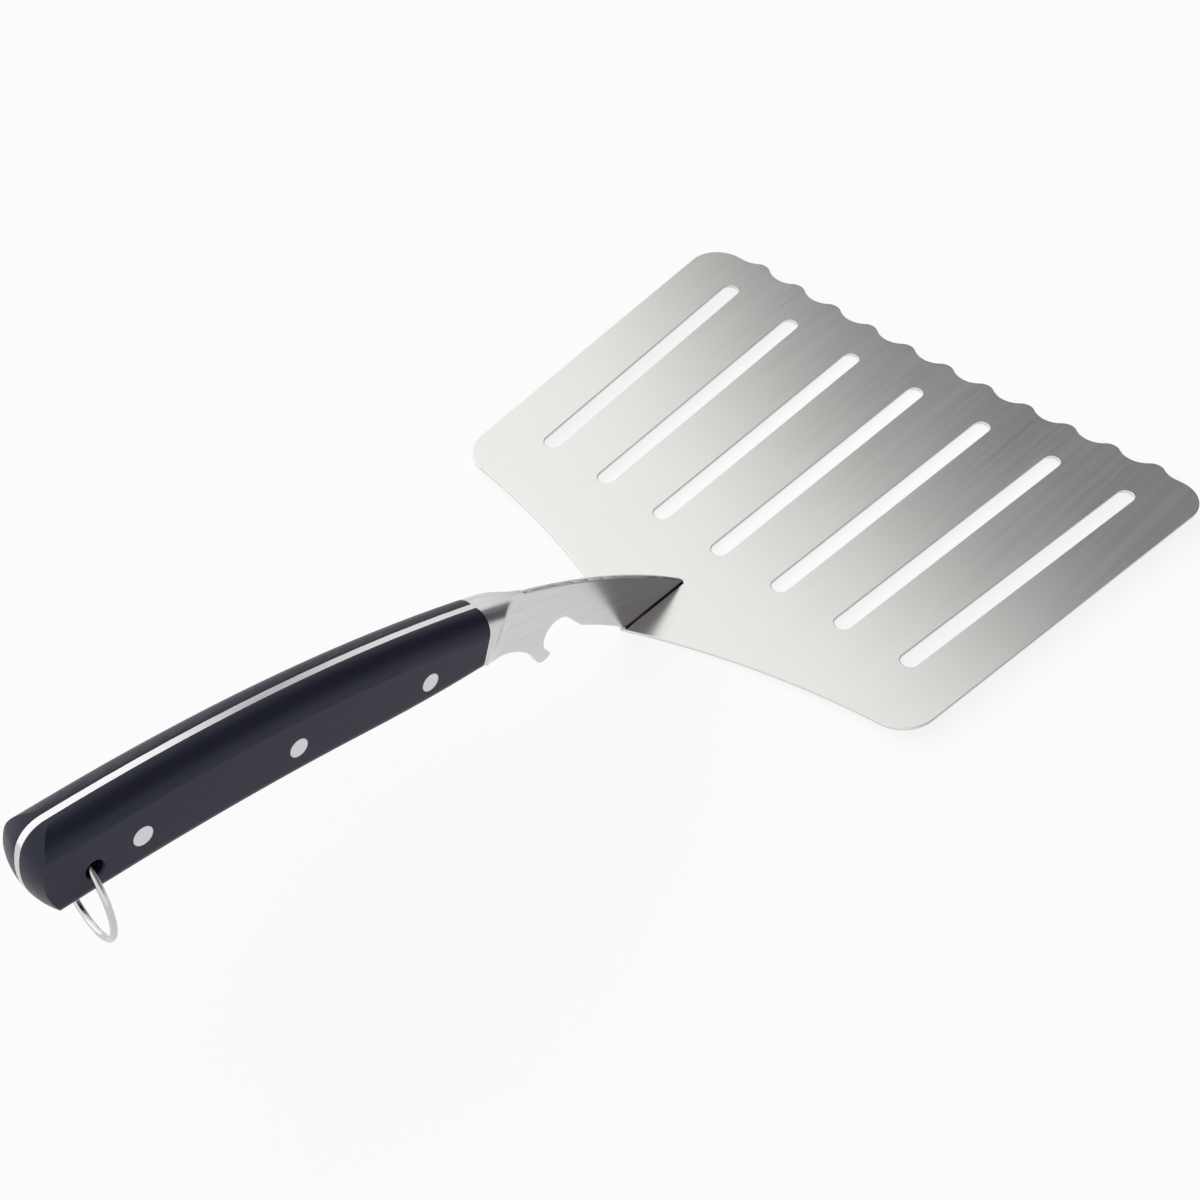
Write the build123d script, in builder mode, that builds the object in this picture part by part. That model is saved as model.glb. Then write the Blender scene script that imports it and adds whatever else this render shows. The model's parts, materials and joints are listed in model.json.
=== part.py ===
"""Grill spatula: a wide slotted blade welded to a forged neck with a bottle opener,
a bolster and a full tang between two riveted handle scales, and a loose hanging ring.

Millimetres.  +X runs from the butt of the handle to the front edge of the blade,
+Z is up, and the tool is symmetric about Y = 0 but for its loose ring and its rivets.
The blade lies level.  The origin is at the bottom of the blade's trough, midway
between the blade's front edge and the butt.
"""

from build123d import *
from math import atan, cos, degrees, radians, sin, sqrt
import os

# ---- driving dimensions ---------------------------------------------------------------

overall_length = 432.0

# blade: sheet steel pressed to a very shallow trough across its width
blade_thickness = 1.2
blade_trough_radius = 1470.0
blade_edge_round = 0.3
blade_rear_tip_x = 15.3
blade_rear_corner = (40.4, 109.6)
blade_rear_edge_middle = (32.6, 50.0)
blade_side_splay = 0.0935
blade_corner_radius = 14.0

# scallops along the blade's front edge
scallop_count = 11
scallop_pitch = 19.74
scallop_depth = 3.6
scallop_crest_share = 0.345
front_corner_setback = 4.4

# drain slots, fanned out from the handle
slot_count = 7
slot_width = 7.0
slot_rear_x = 67.1
slot_length = 128.2
slot_rear_pitch = 29.17
slot_front_pitch = 33.0

# forged neck with the bottle opener, seen from the side as (x, z)
plate_thickness = 2.2
plate_top_round = 0.8
neck_tip_x = 48.8
neck_heel_x = 17.0
neck_mean_slope = 0.62
neck_underside_middle = (6.0, 11.4)
opener_shoulder = (-5.3, 20.5)
opener_shoulder_round = 3.0
opener_notch_centre = (-17.0, 25.2)
opener_notch_radius = 6.8
opener_notch_front_angle = 37.0
opener_notch_root_angle = 208.0
opener_tooth_tip = (-20.9, 19.2)
opener_nose_bottom = (-24.4, 17.5)
opener_nose_back = (-27.6, 19.9)
opener_back_middle = (-32.9, 28.9)
guard_front = (-43.0, 35.6)
guard_middle = (-51.0, 39.9)

# handle side outline: the top and bottom lines are chains of tangent arcs
handle_width = 18.5
top_start = (-197.8, 104.0)
top_start_angle = -7.18
top_rear_arc = (576.0, -14.9)
top_front_arc = (339.0, -20.3)
top_bolster_arc = (339.0, -4.5)
bottom_start = (-207.8, 76.9)
bottom_start_angle = -7.6
bottom_rear_arc = (845.0, -7.1)
bottom_front_arc = (487.0, 5.5)
handle_top_round = 7.2
handle_bottom_round = 3.6

# butt: crowned both ways, a surface of revolution about an upright axis in the handle
crown_axis_foot = (-192.4, 89.3)
crown_tilt = 6.8
crown_reach = 24.0
crown_side_radius = 25.0
crown_top = 13.95
crown_bottom = -14.9
crown_top_corner_round = 9.0
crown_bottom_corner_round = 4.0
butt_overrun = 30.0

# bolster: the handle's full section, scooped down to the plate in front of the scales
scale_front = (-54.7, 57.3)
scale_front_tilt = 20.0
scoop_tilt = 30.0
scoop_start = 2.6
scoop_end = 21.0
scoop_shoulder_pull = 0.55
scoop_run_out_pull = 1.5

# two-piece rivets: a pin pressed into a blind barrel, both heads flush
rivet_centres = {"front": (-79.9, 59.6), "middle": (-130.6, 73.7), "rear": (-184.1, 84.5)}
rivet_head_radius = 3.25
rivet_head_depth = 2.4
rivet_barrel_radius = 2.1
rivet_pin_radius = 1.3
rivet_barrel_end_gap = 0.6
rivet_bore_end = 5.4
rivet_pin_end = 5.0

# hanging hole and ring
hang_hole_centre = (-199.8, 85.4)
hang_hole_radius = 2.75
hang_hole_mouth_round = 0.8
ring_radius = 16.5
ring_wire_radius = 1.05
ring_swing = 6.0
ring_yaw = -6.5
ring_seam_angle = 0.8

# weld beads along the foot of the neck, each in a bevel of the plate's foot
weld_leg = 0.6
weld_bulge = 0.08
weld_root_depth = 0.3
weld_front_gap = 0.9

# ---- values worked out from the driving dimensions ---------------------------------------

front_x = overall_length / 2
half_width = handle_width / 2
half_plate = plate_thickness / 2
inner_trough_radius = blade_trough_radius - blade_thickness
beyond = 400.0

scallop_angle = 2 * atan(2 * scallop_depth / scallop_pitch)
scallop_turn = degrees(scallop_angle)
scallop_radii_sum = scallop_pitch / 2 / sin(scallop_angle)
crest_radius = scallop_crest_share * scallop_radii_sum
valley_radius = scallop_radii_sum - crest_radius
valley_centre_x = front_x - scallop_depth + valley_radius
last_crest_y = (scallop_count - 1) / 2 * scallop_pitch
last_valley_y = last_crest_y + scallop_pitch / 2
front_corner_x = front_x - front_corner_setback
front_corner_y = blade_rear_corner[1] + blade_side_splay * (front_corner_x - blade_rear_corner[0])

tilt = radians(scale_front_tilt)
along_handle = Vector(cos(tilt), 0, -sin(tilt))
scale_front_point = Vector(scale_front[0], 0, scale_front[1])
scale_front_plane = Plane(origin=scale_front_point, x_dir=(0, 1, 0), z_dir=along_handle)
scoop_lean = radians(scoop_tilt)
scoop_plane = Plane(
    origin=scale_front_point,
    x_dir=(cos(scoop_lean), 0, -sin(scoop_lean)),
    z_dir=(sin(scoop_lean), 0, cos(scoop_lean)),
)

scoop_end_plane = Plane(
    origin=scoop_plane.from_local_coords((scoop_end, 0, 0)),
    x_dir=(0, 1, 0),
    z_dir=scoop_plane.x_dir,
)

crown_lean = radians(crown_tilt)
crown_plane = Plane(
    origin=(crown_axis_foot[0], 0, crown_axis_foot[1]),
    x_dir=(-cos(crown_lean), 0, sin(crown_lean)),
    z_dir=(0, 1, 0),
)
crown_centre = crown_reach - crown_side_radius

ring_sagitta = ring_radius - sqrt(ring_radius**2 - half_width**2)
ring_drop = ring_radius - ring_sagitta / 2
swing = radians(ring_swing)
yaw = radians(ring_yaw)
ring_down = Vector(-sin(swing), 0, -cos(swing))
ring_across = Vector(-sin(yaw) * cos(swing), cos(yaw), sin(yaw) * sin(swing))
ring_centre = Vector(hang_hole_centre[0], 0, hang_hole_centre[1]) + ring_down * ring_drop


def heading(angle):
    """Unit vector at an angle in degrees from the sketch's first axis."""
    return (cos(radians(angle)), sin(radians(angle)))


def handle_arcs(start, start_angle, rear_arc, front_arc):
    """A line of the handle, drawn forward as two tangent arcs of (radius, turn)."""
    rear = JernArc(start, heading(start_angle), rear_arc[0], rear_arc[1])
    return rear, JernArc(rear @ 1, rear % 1, front_arc[0], front_arc[1])


def side_edges(part, half, above):
    """Lengthwise edges of a part's flat sides, above or below the handle's middle line."""
    chosen = []
    for edge in part.edges():
        middle = edge @ 0.5
        middle_line = scale_front[1] - 0.215 * (middle.X - scale_front[0])
        lengthwise = abs((edge % 0.5).Z) < 0.7
        if abs(abs(middle.Y) - half) < 0.001 and lengthwise and (middle.Z > middle_line) == above:
            chosen.append(edge)
    return chosen


def finish(part, name):
    """Label a finished piece and write it."""
    part.label = name
    export_step(part, f"parts/{name}.step")


os.makedirs("parts", exist_ok=True)

# ---- blade --------------------------------------------------------------------------------

sheet_half_angle = 7.0

with BuildPart() as blade:
    # the curved sheet, seen from the front, run along X
    with BuildSketch(Plane.YZ):
        with BuildLine():
            sheet_start = 270 - sheet_half_angle
            sheet_turn = 2 * sheet_half_angle
            under = CenterArc((0, blade_trough_radius), blade_trough_radius, sheet_start, sheet_turn)
            over = CenterArc((0, blade_trough_radius), inner_trough_radius, sheet_start, sheet_turn)
            Line(under @ 0, over @ 0)
            Line(under @ 1, over @ 1)
        make_face()
    extrude(amount=overall_length)
    # its outline, seen from above
    with BuildSketch() as blade_outline:
        with BuildLine():
            last_valley_centre = (valley_centre_x, last_valley_y)
            CenterArc(last_valley_centre, valley_radius, 180, scallop_turn)
            Polyline(
                (front_x - scallop_depth, last_valley_y),
                (front_corner_x, front_corner_y),
                blade_rear_corner,
            )
            ThreePointArc(blade_rear_corner, blade_rear_edge_middle, (blade_rear_tip_x, 0))
            mirror(about=Plane.XZ)
            for crest in range(scallop_count):
                crest_centre = (front_x - crest_radius, crest * scallop_pitch - last_crest_y)
                CenterArc(crest_centre, crest_radius, -scallop_turn, 2 * scallop_turn)
            for valley in range(scallop_count - 1):
                valley_centre = (valley_centre_x, (valley + 0.5) * scallop_pitch - last_crest_y)
                CenterArc(valley_centre, valley_radius, 180 - scallop_turn, 2 * scallop_turn)
        make_face()
        outer_corners = [v for v in blade_outline.vertices() if abs(v.Y) > last_valley_y + 0.5]
        fillet(outer_corners, blade_corner_radius)
    extrude(amount=beyond, both=True, mode=Mode.INTERSECT)
    # its slots
    with BuildSketch():
        for step in range(slot_count):
            index = step - (slot_count - 1) / 2
            rear_y = index * slot_rear_pitch
            front_y = index * slot_front_pitch
            splay = atan((front_y - rear_y) / slot_length)
            centre_distance = (slot_length - slot_width) / cos(splay)
            with Locations((slot_rear_x + slot_length / 2, (rear_y + front_y) / 2)):
                SlotCenterToCenter(centre_distance, slot_width, rotation=degrees(splay))
    extrude(amount=beyond, both=True, mode=Mode.SUBTRACT)
    # every edge but the short upright ones is softened
    fillet([e for e in blade.edges() if abs((e % 0.5).Z) < 0.9], blade_edge_round)

# ---- handle envelope: what the scales, the tang and the bolster are cut from ------------------

with BuildPart() as crown:
    with BuildSketch(crown_plane) as crown_side:
        with BuildLine():
            top_end = (crown_centre + sqrt(crown_side_radius**2 - crown_top**2), crown_top)
            bottom_end = (crown_centre + sqrt(crown_side_radius**2 - crown_bottom**2), crown_bottom)
            ThreePointArc(bottom_end, (crown_reach, 0), top_end)
            Polyline(top_end, (0, crown_top), (0, crown_bottom), bottom_end)
        make_face()
        outer = crown_side.vertices().filter_by(lambda corner: corner.X > 1).sort_by(Axis.Y)
        fillet(outer[-1], crown_top_corner_round)
        outer = crown_side.vertices().filter_by(lambda corner: corner.X > 1).sort_by(Axis.Y)
        fillet(outer[0], crown_bottom_corner_round)
    revolve(axis=Axis(crown_plane.origin, crown_plane.y_dir))
    with BuildSketch(crown_plane):
        with Locations((-beyond / 2, 0)):
            Rectangle(beyond, beyond)
    extrude(amount=2 * handle_width, both=True)

with BuildPart() as envelope:
    with BuildSketch(Plane.XZ):
        with BuildLine():
            top_rear, top_front = handle_arcs(
                top_start, top_start_angle, top_rear_arc, top_bolster_arc
            )
            bottom_rear, bottom_front = handle_arcs(
                bottom_start, bottom_start_angle, bottom_rear_arc, bottom_front_arc
            )
            guard = Spline(
                bottom_front @ 1,
                guard_middle,
                guard_front,
                tangents=[bottom_front % 1, (1, -0.1)],
            )
            Line(guard @ 1, top_front @ 1)
            top_tail = Line(top_rear @ 0, top_rear @ 0 - top_rear % 0 * butt_overrun)
            bottom_tail = Line(bottom_rear @ 0, bottom_rear @ 0 - bottom_rear % 0 * butt_overrun)
            Line(top_tail @ 1, bottom_tail @ 1)
        make_face()
    extrude(amount=half_width, both=True)
    fillet(side_edges(envelope, half_width, above=True), handle_top_round)
    fillet(side_edges(envelope, half_width, above=False), handle_bottom_round)
    add(crown.part, mode=Mode.INTERSECT)

# ---- holes through the handle -----------------------------------------------------------------

with BuildPart() as rivet_holes:
    with BuildSketch(Plane.XZ):
        with Locations(*rivet_centres.values()):
            Circle(rivet_barrel_radius)
    extrude(amount=half_width + 1, both=True)
    for side in (1, -1):
        with BuildSketch(Plane.XZ.offset(side * half_width)):
            with Locations(*rivet_centres.values()):
                Circle(rivet_head_radius)
        extrude(amount=-side * rivet_head_depth)

with BuildPart() as hang_hole:
    with BuildSketch(Plane.XZ):
        with Locations(hang_hole_centre):
            Circle(hang_hole_radius)
    extrude(amount=half_width + 1, both=True)

# ---- scales -------------------------------------------------------------------------------------

with BuildPart() as scale_left:
    add(envelope.part)
    split(bisect_by=scale_front_plane, keep=Keep.BOTTOM)
    split(bisect_by=Plane.XZ.offset(-half_plate), keep=Keep.BOTTOM)
    add(rivet_holes.part, mode=Mode.SUBTRACT)
    add(hang_hole.part, mode=Mode.SUBTRACT)
    mouth = scale_left.edges().filter_by(GeomType.CIRCLE).filter_by(
        lambda edge: abs(edge.radius - hang_hole_radius) < 0.001
    )
    fillet(mouth.sort_by(Axis.Y)[-1], hang_hole_mouth_round)

with BuildPart() as scale_right:
    add(scale_left.part)
    mirror(about=Plane.XZ, mode=Mode.REPLACE)

# ---- weld beads -----------------------------------------------------------------------------------

with BuildPart() as weld_bead_left:
    with BuildSketch(Plane.YZ.offset(neck_heel_x)):
        with BuildLine():
            root = (half_plate - weld_root_depth, blade_thickness)
            foot = (half_plate + weld_leg, blade_thickness)
            crest_point = (half_plate, blade_thickness + weld_leg)
            half_leg = weld_leg / 2 + weld_bulge
            Polyline(crest_point, root, foot)
            ThreePointArc(foot, (half_plate + half_leg, blade_thickness + half_leg), crest_point)
        make_face()
    extrude(amount=neck_tip_x - weld_front_gap - neck_heel_x)
    add(blade.part, mode=Mode.SUBTRACT)

with BuildPart() as weld_bead_right:
    add(weld_bead_left.part)
    mirror(about=Plane.XZ, mode=Mode.REPLACE)

# ---- forging: neck with the opener, bolster and full tang ---------------------------------------

with BuildPart() as neck_plate:
    with BuildSketch(Plane.XZ) as neck_side:
        with BuildLine():
            top_rear, top_front = handle_arcs(top_start, top_start_angle, top_rear_arc, top_front_arc)
            heel = (neck_heel_x, blade_thickness)
            Polyline(top_front @ 1, (neck_tip_x, blade_thickness), heel)
            ThreePointArc(heel, neck_underside_middle, opener_shoulder)
            notch = CenterArc(
                opener_notch_centre,
                opener_notch_radius,
                opener_notch_front_angle,
                opener_notch_root_angle - opener_notch_front_angle,
            )
            Line(opener_shoulder, notch @ 0)
            Line(notch @ 1, opener_tooth_tip)
            ThreePointArc(opener_tooth_tip, opener_nose_bottom, opener_nose_back)
            ThreePointArc(opener_nose_back, opener_back_middle, guard_front)
            Line(guard_front, top_rear @ 0)
        make_face()
        shoulder = neck_side.vertices().sort_by_distance(Plane.XZ.from_local_coords(opener_shoulder))
        fillet(shoulder[0], opener_shoulder_round)
    extrude(amount=half_plate, both=True)
    face_edges = neck_plate.edges().filter_by(lambda edge: abs(abs((edge @ 0.5).Y) - half_plate) < 0.001)
    top_line = face_edges.filter_by(
        lambda edge: (edge @ 0.5).X > scale_front[0]
        and (edge @ 0.5).Z > blade_thickness + neck_mean_slope * (neck_tip_x - (edge @ 0.5).X)
    )
    fillet(top_line, plate_top_round)
    split(bisect_by=scale_front_plane, keep=Keep.TOP)

with BuildPart() as bolster:
    add(envelope.part)
    split(bisect_by=scale_front_plane, keep=Keep.TOP)
    with BuildSketch(scoop_plane):
        for side in (1, -1):
            with BuildLine():
                flank = Spline(
                    (scoop_start, side * half_width),
                    (scoop_end, side * half_plate),
                    tangents=[(1, 0), (1, 0)],
                    tangent_scalars=[scoop_shoulder_pull, scoop_run_out_pull],
                )
                Polyline(
                    flank @ 1,
                    (beyond, side * half_plate),
                    (beyond, side * handle_width),
                    (scoop_start, side * handle_width),
                    flank @ 0,
                )
            make_face()
    extrude(amount=beyond, both=True, mode=Mode.SUBTRACT)
    split(bisect_by=scoop_end_plane, keep=Keep.BOTTOM)

with BuildPart() as neck_forging:
    add(envelope.part)
    split(bisect_by=scale_front_plane, keep=Keep.BOTTOM)
    with BuildSketch(Plane.XZ):
        Rectangle(2 * beyond, 2 * beyond)
    extrude(amount=half_plate, both=True, mode=Mode.INTERSECT)
    add(neck_plate.part)
    add(bolster.part)
    add(rivet_holes.part, mode=Mode.SUBTRACT)
    add(hang_hole.part, mode=Mode.SUBTRACT)
    add(blade.part, mode=Mode.SUBTRACT)
    add(weld_bead_left.part, mode=Mode.SUBTRACT)
    add(weld_bead_right.part, mode=Mode.SUBTRACT)

# ---- hanging ring: one turn of wire, closed with a butt seam that lies in the hole ------------------

ring_plane = Plane(origin=ring_centre, x_dir=ring_down * -1, z_dir=(ring_down * -1).cross(ring_across))

with BuildPart() as hang_ring:
    with BuildSketch(Plane(origin=ring_centre, x_dir=ring_down * -1, z_dir=ring_across)):
        with Locations((ring_radius, 0)):
            Circle(ring_wire_radius)
    revolve(
        axis=Axis(ring_centre, ring_plane.z_dir),
        revolution_arc=360 - ring_seam_angle,
    )

# ---- finished pieces --------------------------------------------------------------------------------

finish(blade.part, "blade")
finish(neck_forging.part, "neck_forging")
finish(weld_bead_left.part, "weld_bead_left")
finish(weld_bead_right.part, "weld_bead_right")
finish(scale_left.part, "scale_left")
finish(scale_right.part, "scale_right")
finish(hang_ring.part, "hang_ring")

head_inner = half_width - rivet_head_depth
for place, (rivet_x, rivet_z) in rivet_centres.items():
    # the barrel's head is on the left, the pin's on the right
    with BuildPart() as rivet_barrel:
        with BuildSketch(Plane.XZ.offset(-half_width)):
            with Locations((rivet_x, rivet_z)):
                Circle(rivet_head_radius)
        extrude(amount=rivet_head_depth)
        with BuildSketch(Plane.XZ.offset(-head_inner)):
            with Locations((rivet_x, rivet_z)):
                Circle(rivet_barrel_radius)
        extrude(amount=2 * head_inner - rivet_barrel_end_gap)
        with BuildSketch(Plane.XZ.offset(-rivet_bore_end)):
            with Locations((rivet_x, rivet_z)):
                Circle(rivet_pin_radius)
        extrude(amount=beyond, mode=Mode.SUBTRACT)
    finish(rivet_barrel.part, f"{place}_rivet_barrel")
    with BuildPart() as rivet_pin:
        with BuildSketch(Plane.XZ.offset(half_width)):
            with Locations((rivet_x, rivet_z)):
                Circle(rivet_head_radius)
        extrude(amount=-rivet_head_depth)
        with BuildSketch(Plane.XZ.offset(head_inner)):
            with Locations((rivet_x, rivet_z)):
                Circle(rivet_pin_radius)
        extrude(amount=-(head_inner + rivet_pin_end))
    finish(rivet_pin.part, f"{place}_rivet_pin")
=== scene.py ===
import json
import math

import bpy
from mathutils import Matrix, Vector


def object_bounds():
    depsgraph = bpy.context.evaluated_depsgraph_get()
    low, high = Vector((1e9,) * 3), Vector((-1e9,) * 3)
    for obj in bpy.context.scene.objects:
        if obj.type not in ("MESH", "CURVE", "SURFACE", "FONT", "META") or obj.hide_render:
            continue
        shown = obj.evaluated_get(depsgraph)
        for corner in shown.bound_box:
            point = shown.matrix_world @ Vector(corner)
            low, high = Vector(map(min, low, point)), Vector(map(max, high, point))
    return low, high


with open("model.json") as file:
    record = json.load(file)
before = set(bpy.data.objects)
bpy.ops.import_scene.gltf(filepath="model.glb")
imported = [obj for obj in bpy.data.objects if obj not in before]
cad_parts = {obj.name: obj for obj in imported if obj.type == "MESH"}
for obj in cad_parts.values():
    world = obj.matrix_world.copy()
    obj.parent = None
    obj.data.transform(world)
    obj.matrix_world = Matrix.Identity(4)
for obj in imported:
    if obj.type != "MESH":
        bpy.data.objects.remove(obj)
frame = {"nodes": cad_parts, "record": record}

# ---- driving values, in metres and degrees ----------------------------------------------

# camera: it looks at a point near the middle of the object's box
camera_aim_offset = Vector((-0.00545, -0.01095, -0.0123))
camera_distance = 0.620
camera_azimuth = 44.88
camera_dip = 46.09
camera_roll = 2.27
camera_lens = 55.07
camera_sensor = 36.0

# floor
floor_size = 6.0
floor_drop = 0.0006
floor_glow = 0.78
floor_colour = (0.20, 0.20, 0.20)

# studio: a pale room, by the direction that its light comes from. Each edge is a pair of cosines
# of the angle to a direction: the soft edge starts at one and ends at the other.
room_brightness = 1.25
dark_side_direction = (0.97, 0.24, 0.0)
dark_side_brightness = 0.24
dark_side_edge = (0.645, 0.745)
far_wall_direction = (0.0, 1.0, 0.0)
far_wall_brightness = 0.45
far_wall_edge = (0.50, 0.60)
low_panel_direction = (0.80, 0.53, 0.28)
low_panel_brightness = 0.80
low_panel_edge = (0.965, 0.988)
dark_corner_direction = (0.483, -0.488, 0.727)
dark_corner_brightness = 0.22
dark_corner_edge = (0.62, 0.90)

# how far the handle slopes down towards the blade, which is the way its steel was ground
handle_slope = 20.0
grain_across_tangent = 0.25

# radius of the band along the edges of the pieces: painted shade on the blade's cut edges, worn or rubbed
# on the forging and scales, a darker rim on the rivet heads
sheet_painted_shade_radius = 0.0005
forging_edge_radius = 0.0005
scale_edge_radius = 0.0007
rivet_edge_radius = 0.0003
edge_samples = 6
edge_mask_range = (0.01, 0.12)

# heights of the bumps
sheet_grain_height = 0.0000012
forging_grain_height = 0.000003
weld_ripple_height = 0.00012
scale_grain_height = 0.000006
rivet_line_height = 0.000003
wire_scuff_height = 0.000004

cad_low, cad_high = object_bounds()
cad_centre = (cad_low + cad_high) / 2


# ---- small node helpers -------------------------------------------------------------------

def add(tree, kind, settings=None, **values):
    """A new node, with its settings and the values of its sockets, by socket name."""
    node = tree.nodes.new(kind)
    for key, value in (settings or {}).items():
        setattr(node, key, value)
    for key, value in values.items():
        node.inputs[key.replace("_", " ")].default_value = value
    return node


def math_node(tree, operation, first, second):
    """A maths node on two values, each a socket or a number."""
    node = add(tree, "ShaderNodeMath", {"operation": operation})
    for socket, value in zip(node.inputs, (first, second)):
        if isinstance(value, bpy.types.NodeSocket):
            tree.links.new(value, socket)
        else:
            socket.default_value = value
    return node.outputs[0]


def spread(tree, value, low, high):
    """A value from 0 to 1, turned into one from low to high."""
    node = add(tree, "ShaderNodeMapRange")
    node.inputs["To Min"].default_value = low
    node.inputs["To Max"].default_value = high
    tree.links.new(value, node.inputs["Value"])
    return node.outputs["Result"]


def blend_colour(tree, share, low, high):
    """A colour between two colours, by a value from 0 to 1. The colours may be sockets."""
    node = add(tree, "ShaderNodeMix", {"data_type": "RGBA"})
    tree.links.new(share, node.inputs["Factor"])
    for name, colour in (("A", low), ("B", high)):
        socket = [s for s in node.inputs if s.name == name and s.type == "RGBA"][0]
        if isinstance(colour, bpy.types.NodeSocket):
            tree.links.new(colour, socket)
        else:
            socket.default_value = (*colour, 1.0)
    return [s for s in node.outputs if s.type == "RGBA"][0]


def noise(tree, scale, stretch=(1, 1, 1), slope=0.0, detail=3.0):
    """Noise in the piece's own space, as a value round 0.5. It may be stretched along a slope."""
    place = add(tree, "ShaderNodeTexCoord")
    mapping = add(tree, "ShaderNodeMapping", {"vector_type": "TEXTURE"})
    mapping.inputs["Rotation"].default_value = (0, math.radians(slope), 0)
    mapping.inputs["Scale"].default_value = stretch
    tree.links.new(place.outputs["Object"], mapping.inputs["Vector"])
    texture = add(tree, "ShaderNodeTexNoise", Scale=scale, Detail=detail)
    tree.links.new(mapping.outputs["Vector"], texture.inputs["Vector"])
    return texture.outputs["Fac"]


def sharpen(tree, value, low, high):
    """A value cut to the part between low and high, and stretched to run from 0 to 1."""
    node = add(tree, "ShaderNodeMapRange", {"interpolation_type": "SMOOTHSTEP"})
    node.inputs["From Min"].default_value = low
    node.inputs["From Max"].default_value = high
    tree.links.new(value, node.inputs["Value"])
    return node.outputs["Result"]


def edge_mask(tree, radius):
    """1 on the edges of a piece and 0 on its faces, over a band of that radius."""
    rounded = add(tree, "ShaderNodeBevel", {"samples": edge_samples}, Radius=radius)
    flat = add(tree, "ShaderNodeNewGeometry")
    dot = add(tree, "ShaderNodeVectorMath", {"operation": "DOT_PRODUCT"})
    tree.links.new(rounded.outputs["Normal"], dot.inputs[0])
    tree.links.new(flat.outputs["Normal"], dot.inputs[1])
    return sharpen(tree, math_node(tree, "SUBTRACT", 1.0, dot.outputs["Value"]), *edge_mask_range)


def bump(tree, height, distance):
    """A bump normal from a height from 0 to 1 times a distance."""
    node = add(tree, "ShaderNodeBump", Distance=distance, Strength=1.0)
    tree.links.new(height, node.inputs["Height"])
    return node.outputs["Normal"]


def new_material(name, **values):
    """A principled material, with the constant values of its sockets."""
    material = bpy.data.materials.new(name)
    material.use_nodes = True
    tree = material.node_tree
    tree.nodes.clear()
    output = add(tree, "ShaderNodeOutputMaterial")
    surface = add(tree, "ShaderNodeBsdfPrincipled", **values)
    tree.links.new(surface.outputs["BSDF"], output.inputs["Surface"])
    return material, tree, surface


def brush_direction(tree, surface, slope):
    """Points a brushed metal's grain along X, sloping down towards +X by an angle."""
    tangent = add(tree, "ShaderNodeCombineXYZ")
    tangent.inputs["X"].default_value = math.cos(math.radians(slope))
    tangent.inputs["Z"].default_value = -math.sin(math.radians(slope))
    tree.links.new(tangent.outputs["Vector"], surface.inputs["Tangent"])


# ---- materials ------------------------------------------------------------------------------

def sheet_steel():
    """Blade: satin stainless sheet, brushed along the tool, with faint clouds and fine scratches, and
    painted shade darkening its cut edges.
    """
    material, tree, surface = new_material(
        "satin_sheet_steel", Metallic=1.0, Anisotropic=0.7, Anisotropic_Rotation=grain_across_tangent
    )
    brush_direction(tree, surface, 0.0)
    grain = noise(tree, 2600, stretch=(60, 1, 1), detail=2.0)
    streaks = noise(tree, 420, stretch=(40, 1, 1), detail=3.0)
    clouds = noise(tree, 26, stretch=(1.6, 1, 1), detail=2.0)
    edge = edge_mask(tree, sheet_painted_shade_radius)
    tone = blend_colour(tree, streaks, (0.640, 0.627, 0.607), (0.700, 0.688, 0.668))
    tone = blend_colour(tree, sharpen(tree, clouds, 0.3, 0.7), tone, (0.672, 0.662, 0.646))
    # painted shade: the sheet's cut edges are coloured dark grey, as if they were in shade
    tone = blend_colour(tree, edge, tone, (0.44, 0.435, 0.425))
    tree.links.new(tone, surface.inputs["Base Color"])
    rough = math_node(tree, "ADD", spread(tree, streaks, 0.15, 0.23), spread(tree, clouds, -0.03, 0.03))
    tree.links.new(rough, surface.inputs["Roughness"])
    tree.links.new(bump(tree, grain, sheet_grain_height), surface.inputs["Normal"])
    return material


def forged_steel():
    """Neck, bolster and tang: steel ground along the handle, brighter on its edges."""
    material, tree, surface = new_material(
        "ground_forged_steel", Metallic=1.0, Anisotropic=0.5, Anisotropic_Rotation=grain_across_tangent
    )
    brush_direction(tree, surface, handle_slope)
    grain = noise(tree, 2400, stretch=(30, 1, 1), slope=handle_slope, detail=2.0)
    lines = noise(tree, 620, stretch=(26, 1, 1), slope=handle_slope, detail=4.0)
    clouds = noise(tree, 90, detail=2.0)
    edge = edge_mask(tree, forging_edge_radius)
    tone = blend_colour(tree, lines, (0.560, 0.538, 0.556), (0.690, 0.665, 0.685))
    tone = blend_colour(tree, edge, tone, (0.80, 0.785, 0.79))
    tree.links.new(tone, surface.inputs["Base Color"])
    rough = math_node(tree, "ADD", spread(tree, lines, 0.20, 0.30), spread(tree, clouds, -0.03, 0.03))
    tree.links.new(rough, surface.inputs["Roughness"])
    tree.links.new(bump(tree, grain, forging_grain_height), surface.inputs["Normal"])
    return material


def weld_steel():
    """Weld beads: heat-tinted steel, straw to brown and dark, in small ripples."""
    material, tree, surface = new_material("heat_tinted_weld", Metallic=1.0)
    tint = noise(tree, 140, detail=2.0)
    ripple = noise(tree, 1500, detail=2.0)
    tone = blend_colour(tree, sharpen(tree, tint, 0.45, 0.75), (0.010, 0.009, 0.009), (0.10, 0.058, 0.035))
    tree.links.new(tone, surface.inputs["Base Color"])
    tree.links.new(spread(tree, ripple, 0.35, 0.55), surface.inputs["Roughness"])
    tree.links.new(bump(tree, ripple, weld_ripple_height), surface.inputs["Normal"])
    return material


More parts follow.
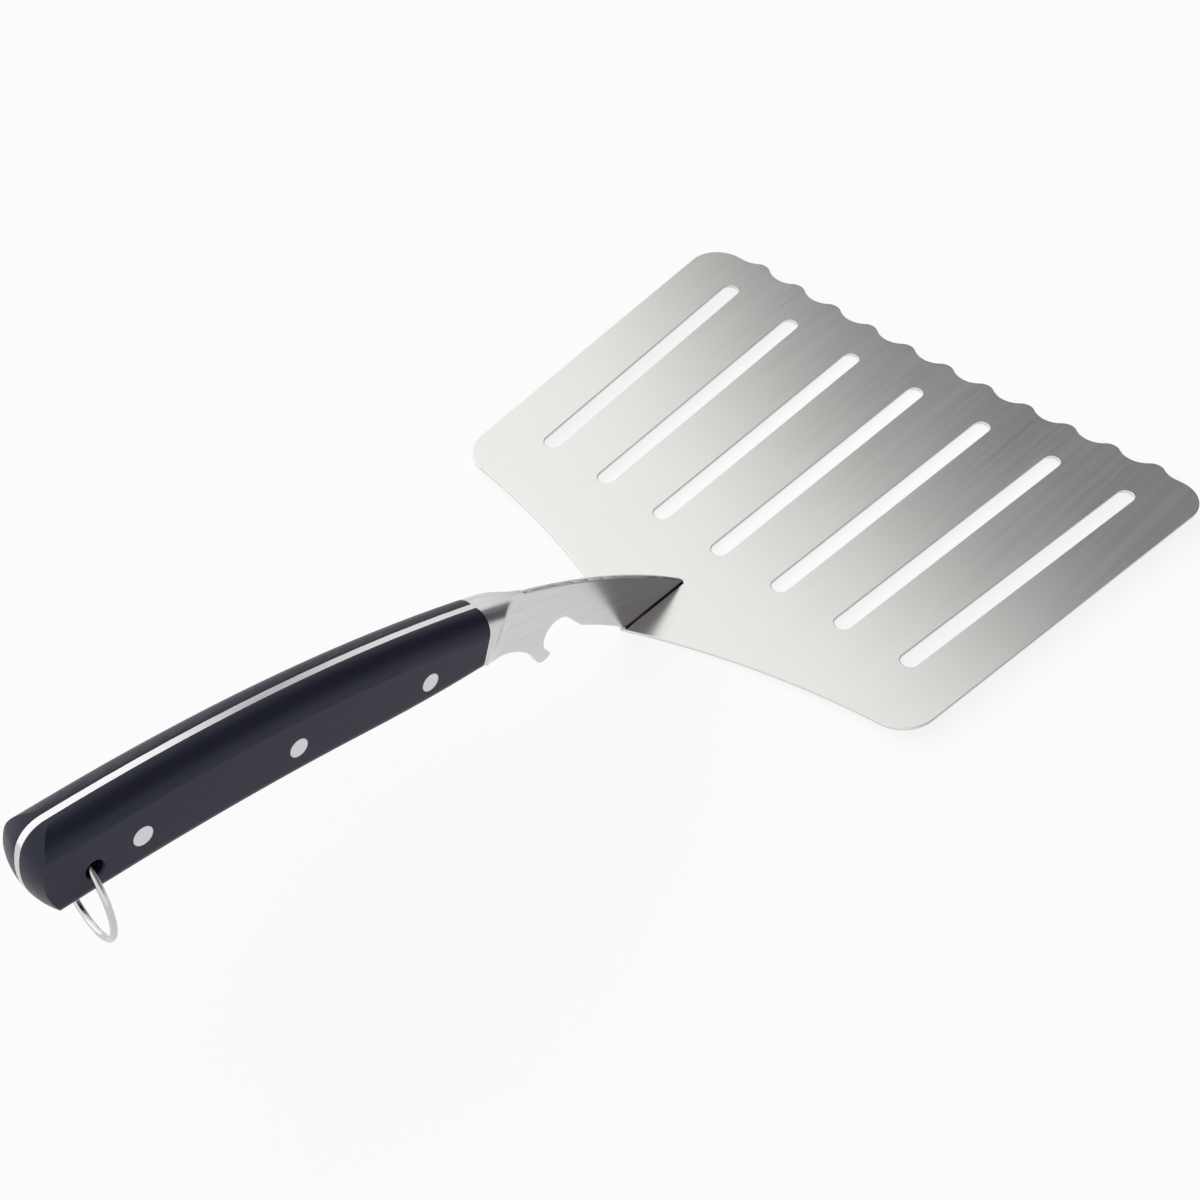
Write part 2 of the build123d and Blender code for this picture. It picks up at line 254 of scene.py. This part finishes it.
def handle_plastic():
    """Scales: satin black moulded plastic with a fine grain, rubbed a little on its edges, with a painted
    bluish reflection in its tone and its specular tint.
    """
    # the blue specular tint is a painted bluish reflection
    material, tree, surface = new_material(
        "satin_black_scale", IOR=1.46, Specular_IOR_Level=0.34, Specular_Tint=(0.78, 0.82, 1.0, 1.0)
    )
    grain = noise(tree, 3800, detail=3.0)
    rub = noise(tree, 300, stretch=(14, 1, 1), slope=handle_slope, detail=3.0)
    clouds = noise(tree, 55, detail=2.0)
    edge = edge_mask(tree, scale_edge_radius)
    # near-black plastic tone, with a painted bluish reflection mixed into it
    tone = blend_colour(tree, clouds, (0.0060, 0.0066, 0.0150), (0.0095, 0.0103, 0.0200))
    tone = blend_colour(tree, edge, tone, (0.020, 0.020, 0.024))
    tree.links.new(tone, surface.inputs["Base Color"])
    rough = math_node(tree, "ADD", spread(tree, rub, 0.33, 0.45), spread(tree, grain, -0.04, 0.04))
    tree.links.new(rough, surface.inputs["Roughness"])
    tree.links.new(bump(tree, grain, scale_grain_height), surface.inputs["Normal"])
    return material


def rivet_steel():
    """Rivet heads: steel ground flush with the scales, with fine lines along the handle."""
    material, tree, surface = new_material(
        "flush_rivet_steel", Metallic=1.0, Anisotropic=0.3, Anisotropic_Rotation=grain_across_tangent
    )
    brush_direction(tree, surface, handle_slope)
    lines = noise(tree, 1300, stretch=(12, 1, 1), slope=handle_slope, detail=3.0)
    edge = edge_mask(tree, rivet_edge_radius)
    tone = blend_colour(tree, lines, (0.590, 0.570, 0.605), (0.680, 0.660, 0.700))
    tone = blend_colour(tree, edge, tone, (0.42, 0.41, 0.42))
    tree.links.new(tone, surface.inputs["Base Color"])
    tree.links.new(spread(tree, lines, 0.28, 0.40), surface.inputs["Roughness"])
    tree.links.new(bump(tree, lines, rivet_line_height), surface.inputs["Normal"])
    return material


def ring_steel():
    """Hanging ring: bright drawn wire, scuffed here and there."""
    material, tree, surface = new_material("bright_ring_wire", Metallic=1.0)
    scuffs = noise(tree, 900, detail=3.0)
    tone = blend_colour(tree, scuffs, (0.50, 0.485, 0.490), (0.63, 0.615, 0.630))
    tree.links.new(tone, surface.inputs["Base Color"])
    tree.links.new(spread(tree, sharpen(tree, scuffs, 0.4, 0.7), 0.10, 0.24), surface.inputs["Roughness"])
    tree.links.new(bump(tree, scuffs, wire_scuff_height), surface.inputs["Normal"])
    return material


def dress_nodes():
    """Gives every CAD node the material of its slot in the record."""
    made = {
        "blade_steel": sheet_steel(),
        "forged_steel": forged_steel(),
        "weld_steel": weld_steel(),
        "handle_scale": handle_plastic(),
        "rivet_steel": rivet_steel(),
        "ring_steel": ring_steel(),
    }
    for subpart in frame["record"]["subparts"]:
        piece = frame["nodes"][subpart["node"]]
        for material_slot in piece.material_slots:
            material_slot.material = made[subpart["material_slot"]]


# ---- floor, studio light and camera --------------------------------------------------------

def make_floor():
    """A plain pale floor just under the object, glowing faintly as a light table does."""
    half = floor_size / 2
    height = cad_low.z - floor_drop
    corners = [(x, y, height) for x, y in ((-half, -half), (half, -half), (half, half), (-half, half))]
    mesh = bpy.data.meshes.new("floor")
    mesh.from_pydata(corners, [], [(0, 1, 2, 3)])
    floor = bpy.data.objects.new("floor", mesh)
    bpy.context.scene.collection.objects.link(floor)
    material = new_material(
        "pale_floor",
        Base_Color=(*floor_colour, 1.0),
        Roughness=0.9,
        Specular_IOR_Level=0.0,
        Emission_Color=(1.0, 1.0, 1.0, 1.0),
        Emission_Strength=floor_glow,
    )[0]
    mesh.materials.append(material)


def share_towards(tree, direction, edge):
    """0 to 1 for light from near a direction, by the cosine of the angle to it."""
    coordinates = add(tree, "ShaderNodeTexCoord")
    dot = add(tree, "ShaderNodeVectorMath", {"operation": "DOT_PRODUCT"})
    tree.links.new(coordinates.outputs["Generated"], dot.inputs[0])
    dot.inputs[1].default_value = Vector(direction).normalized()
    return sharpen(tree, dot.outputs["Value"], *edge)


def make_room():
    """Pale light from all round: darker on one side and in one corner, brighter on a far wall and
    in a low panel."""
    world = bpy.data.worlds.new("studio_room")
    world.use_nodes = True
    tree = world.node_tree
    tree.nodes.clear()
    side = share_towards(tree, dark_side_direction, dark_side_edge)
    corner = share_towards(tree, dark_corner_direction, dark_corner_edge)
    panel = share_towards(tree, low_panel_direction, low_panel_edge)
    brightness = math_node(
        tree,
        "MULTIPLY",
        spread(tree, side, room_brightness, dark_side_brightness),
        spread(tree, corner, 1.0, dark_corner_brightness),
    )
    wall = share_towards(tree, far_wall_direction, far_wall_edge)
    brightness = math_node(tree, "ADD", brightness, spread(tree, panel, 0.0, low_panel_brightness))
    brightness = math_node(tree, "ADD", brightness, spread(tree, wall, 0.0, far_wall_brightness))
    background = add(tree, "ShaderNodeBackground", Color=(1.0, 1.0, 1.0, 1.0))
    tree.links.new(brightness, background.inputs["Strength"])
    output = add(tree, "ShaderNodeOutputWorld")
    tree.links.new(background.outputs["Background"], output.inputs["Surface"])
    bpy.context.scene.world = world


def make_camera():
    """The camera at the photograph's angle."""
    azimuth = math.radians(camera_azimuth)
    dip = math.radians(camera_dip)
    roll = math.radians(camera_roll)
    forward = Vector((
        math.cos(azimuth) * math.cos(dip),
        math.sin(azimuth) * math.cos(dip),
        -math.sin(dip),
    ))
    level_right = forward.cross(Vector((0, 0, 1))).normalized()
    level_up = level_right.cross(forward)
    right = level_right * math.cos(roll) - level_up * math.sin(roll)
    up = right.cross(forward)
    data = bpy.data.cameras.new("camera")
    data.sensor_width = camera_sensor
    data.lens = camera_lens
    camera = bpy.data.objects.new("camera", data)
    turn = Matrix((right, up, -forward)).transposed().to_4x4()
    place = cad_centre + camera_aim_offset - forward * camera_distance
    camera.matrix_world = Matrix.Translation(place) @ turn
    bpy.context.scene.collection.objects.link(camera)
    bpy.context.scene.camera = camera


dress_nodes()
make_floor()
make_room()
make_camera()
bpy.context.scene.view_settings.view_transform = "Standard"
